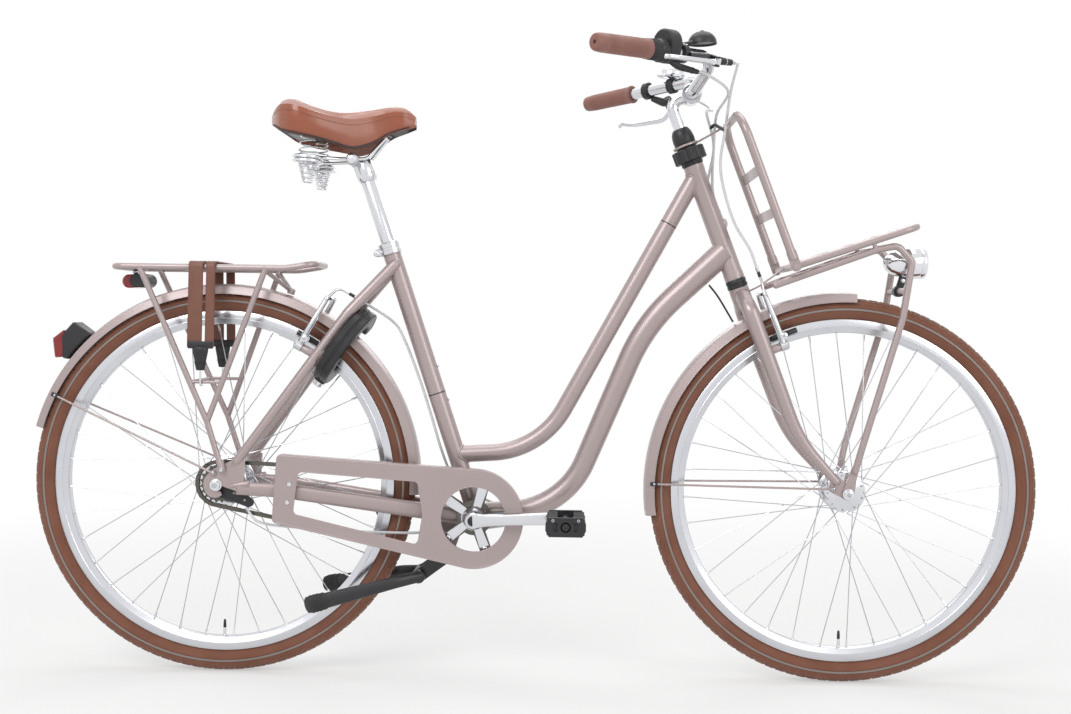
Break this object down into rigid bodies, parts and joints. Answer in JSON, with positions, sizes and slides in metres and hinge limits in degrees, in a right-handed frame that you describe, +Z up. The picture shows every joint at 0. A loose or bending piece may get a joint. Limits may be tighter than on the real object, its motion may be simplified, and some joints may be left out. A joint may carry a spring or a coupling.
{
  "type": "bicycle",
  "caption": "City bicycle with a low curved frame, front and rear racks, mudguards, a guarded chain, a sprung saddle, rim brakes, lamps and a folding stand.",
  "frame": {"origin": "on the ground, in the bike's middle plane, midway between the two wheel axles", "axes": "+X forward in the riding direction, +Y to the rider's left, +Z up; both tyres touch z = 0"},
  "size_m": [1.859, 0.6276, 1.1707],
  "materials": {
    "sand_paint": "satin metallic sand paint",
    "brown_rubber": "matt brown rubber",
    "brown_tyre": "matt brown tyre rubber",
    "brown_leather": "smooth brown leather",
    "black_plastic": "matt black plastic",
    "black_steel": "black painted steel",
    "chrome": "polished chrome",
    "aluminium": "brushed aluminium",
    "spring_steel": "bright steel",
    "chain_steel": "oiled steel",
    "red_lens": "clear red plastic",
    "white_sleeve": "white plastic sleeve"
  },
  "bodies": {
    "frame_body": {"frame": "sand_paint", "headset_lower_cup": "black_plastic", "bottom_bracket": "black_steel", "seat_clamp": "aluminium", "rear_axle": "aluminium", "cassette_joint": "black_plastic", "rear_mudguard": "sand_paint", "rear_rack": "sand_paint", "tail_lamp": "red_lens", "rear_reflector": "red_lens", "luggage_strap": "brown_rubber", "chain": "chain_steel", "chain_guard": "sand_paint", "ring_lock": "black_plastic", "rear_brake_cable": "white_sleeve", "shift_cable": "white_sleeve"},
    "steering_body": {"fork": "sand_paint", "front_axle": "aluminium", "front_mudguard": "sand_paint", "stem_boot": "black_plastic", "stem": "aluminium", "handlebar": "aluminium", "grip_right": "brown_rubber", "grip_left": "brown_rubber", "shifter_housing": "black_plastic", "brake_bracket_right": "black_plastic", "brake_bracket_left": "black_plastic", "bell": "chrome", "front_rack": "sand_paint", "bar_cables": "white_sleeve", "lamp_wire": "black_plastic"},
    "lock_ring_body": {"steering_lock_ring": "black_plastic"},
    "shackle_body": {"ring_lock_shackle": "chrome"},
    "stand_body": {"centre_stand": "black_steel"},
    "seat_post_body": {"seat_post": "aluminium", "saddle_undercarriage": "spring_steel", "saddle_spring_left": "spring_steel", "saddle_spring_right": "spring_steel"},
    "saddle_body": {"saddle_pan": "black_steel", "saddle_cover": "brown_leather"},
    "crank_body": {"crankset": "aluminium", "crank_left": "aluminium"},
    "pedal_right_body": {"pedal_right": "black_plastic"},
    "pedal_left_body": {"pedal_left": "black_plastic"},
    "sprocket_body": {"rear_sprocket": "chain_steel"},
    "rear_wheel_body": {"rear_hub": "aluminium", "rear_rim": "aluminium", "rear_tyre": "brown_tyre"},
    "front_wheel_body": {"front_hub": "aluminium", "front_rim": "aluminium", "front_tyre": "brown_tyre"},
    "rear_arm_left_body": {"rear_brake_arm_left": "aluminium"},
    "rear_arm_right_body": {"rear_brake_arm_right": "aluminium"},
    "front_arm_left_body": {"front_brake_arm_left": "aluminium"},
    "front_arm_right_body": {"front_brake_arm_right": "aluminium"},
    "twist_body": {"twist_shifter": "black_plastic"},
    "lever_right_body": {"brake_lever_right": "aluminium"},
    "lever_left_body": {"brake_lever_left": "aluminium"},
    "bell_lever_body": {"bell_lever": "chrome"},
    "headlamp_body": {"headlamp": "chrome"}
  },
  "joints": [
    {"name": "steering", "type": "hinge", "parent": "frame_body", "child": "steering_body", "pos_m": [0.52688, 0, 0.33792], "axis": [-0.3616, 0, 0.9323], "range_deg": [-60, 60]},
    {"name": "lock_ring_turn", "type": "hinge", "parent": "frame_body", "child": "lock_ring_body", "pos_m": [0.28557, 0, 0.96006], "axis": [-0.3616, 0, 0.9323], "range_deg": [0, 45]},
    {"name": "rear_wheel_spin", "type": "hinge", "parent": "frame_body", "child": "rear_wheel_body", "pos_m": [-0.5735, 0, 0.356], "axis": [0, 1, 0], "continuous": true},
    {"name": "front_wheel_spin", "type": "hinge", "parent": "steering_body", "child": "front_wheel_body", "pos_m": [0.5735, 0, 0.356], "axis": [0, 1, 0], "continuous": true},
    {"name": "crank_spin", "type": "hinge", "parent": "frame_body", "child": "crank_body", "pos_m": [-0.1045, 0, 0.301], "axis": [0, 1, 0], "continuous": true},
    {"name": "sprocket_spin", "type": "hinge", "parent": "frame_body", "child": "sprocket_body", "pos_m": [-0.5735, 0, 0.356], "axis": [0, 1, 0], "continuous": true},
    {"name": "pedal_right_spin", "type": "hinge", "parent": "crank_body", "child": "pedal_right_body", "pos_m": [0.06235, 0, 0.30799], "axis": [0, 1, 0], "continuous": true},
    {"name": "pedal_left_spin", "type": "hinge", "parent": "crank_body", "child": "pedal_left_body", "pos_m": [-0.27135, 0, 0.29401], "axis": [0, 1, 0], "continuous": true},
    {"name": "twist_grip", "type": "hinge", "parent": "steering_body", "child": "twist_body", "pos_m": [0.18771, -0.21951, 1.12004], "axis": [-0.7289, -0.6823, -0.0566], "range_deg": [-45, 45]},
    {"name": "brake_lever_right_pull", "type": "hinge", "parent": "steering_body", "child": "lever_right_body", "pos_m": [0.3101, -0.16672, 1.11071], "axis": [-0.1949, 0.286, -0.9382], "range_deg": [0, 14], "stiffness_Nm_per_rad": 2},
    {"name": "brake_lever_left_pull", "type": "hinge", "parent": "steering_body", "child": "lever_left_body", "pos_m": [0.2634, 0.18349, 1.0838], "axis": [0.5577, 0.6396, 0.5291], "range_deg": [0, 14], "stiffness_Nm_per_rad": 2},
    {"name": "front_arm_left_turn", "type": "hinge", "parent": "steering_body", "child": "front_arm_left_body", "pos_m": [0.45479, 0.044, 0.62333], "axis": [0.9323, 0, 0.3616], "range_deg": [0, 4.5]},
    {"name": "front_arm_right_turn", "type": "hinge", "parent": "steering_body", "child": "front_arm_right_body", "pos_m": [0.45479, -0.044, 0.62333], "axis": [-0.9323, 0, -0.3616], "range_deg": [0, 4.5]},
    {"name": "rear_arm_left_turn", "type": "hinge", "parent": "frame_body", "child": "rear_arm_left_body", "pos_m": [-0.42947, 0.044, 0.61058], "axis": [0.8704, 0, -0.4924], "range_deg": [0, 4.5]},
    {"name": "rear_arm_right_turn", "type": "hinge", "parent": "frame_body", "child": "rear_arm_right_body", "pos_m": [-0.42947, -0.044, 0.61058], "axis": [-0.8704, 0, 0.4924], "range_deg": [0, 4.5]},
    {"name": "bell_lever_flick", "type": "hinge", "parent": "steering_body", "child": "bell_lever_body", "pos_m": [0.25968, 0.15213, 1.14246], "axis": [-0.0413, 0.0387, 0.9984], "range_deg": [0, 20], "stiffness_Nm_per_rad": 0.1},
    {"name": "shackle_turn", "type": "hinge", "parent": "frame_body", "child": "shackle_body", "pos_m": [-0.35162, 0, 0.61148], "axis": [-0.811, 0, 0.585], "range_deg": [0, 90]},
    {"name": "stand_fold", "type": "hinge", "parent": "frame_body", "child": "stand_body", "pos_m": [-0.1585, 0, 0.222], "axis": [0, -1, 0], "range_deg": [0, 72]},
    {"name": "headlamp_tilt", "type": "hinge", "parent": "steering_body", "child": "headlamp_body", "pos_m": [0.67024, 0, 0.72602], "axis": [0, 1, 0], "range_deg": [-12, 12]},
    {"name": "seat_height", "type": "slide", "parent": "frame_body", "child": "seat_post_body", "axis": [-0.319, 0, 0.9478], "range_m": [-0.1, 0.06]},
    {"name": "saddle_suspension", "type": "hinge", "parent": "seat_post_body", "child": "saddle_body", "pos_m": [-0.2791, 0, 0.9946], "axis": [0, -1, 0], "range_deg": [0, 6], "stiffness_Nm_per_rad": 588, "deforming": ["saddle_spring_left", "saddle_spring_right"]}
  ],
  "couplings": [
    {"joint": "sprocket_spin", "follows": "crank_spin", "ratio": 1.9},
    {"joint": "front_arm_left_turn", "follows": "brake_lever_right_pull", "ratio": 0.32},
    {"joint": "front_arm_right_turn", "follows": "brake_lever_right_pull", "ratio": 0.32},
    {"joint": "rear_arm_left_turn", "follows": "brake_lever_left_pull", "ratio": 0.32},
    {"joint": "rear_arm_right_turn", "follows": "brake_lever_left_pull", "ratio": 0.32}
  ]
}
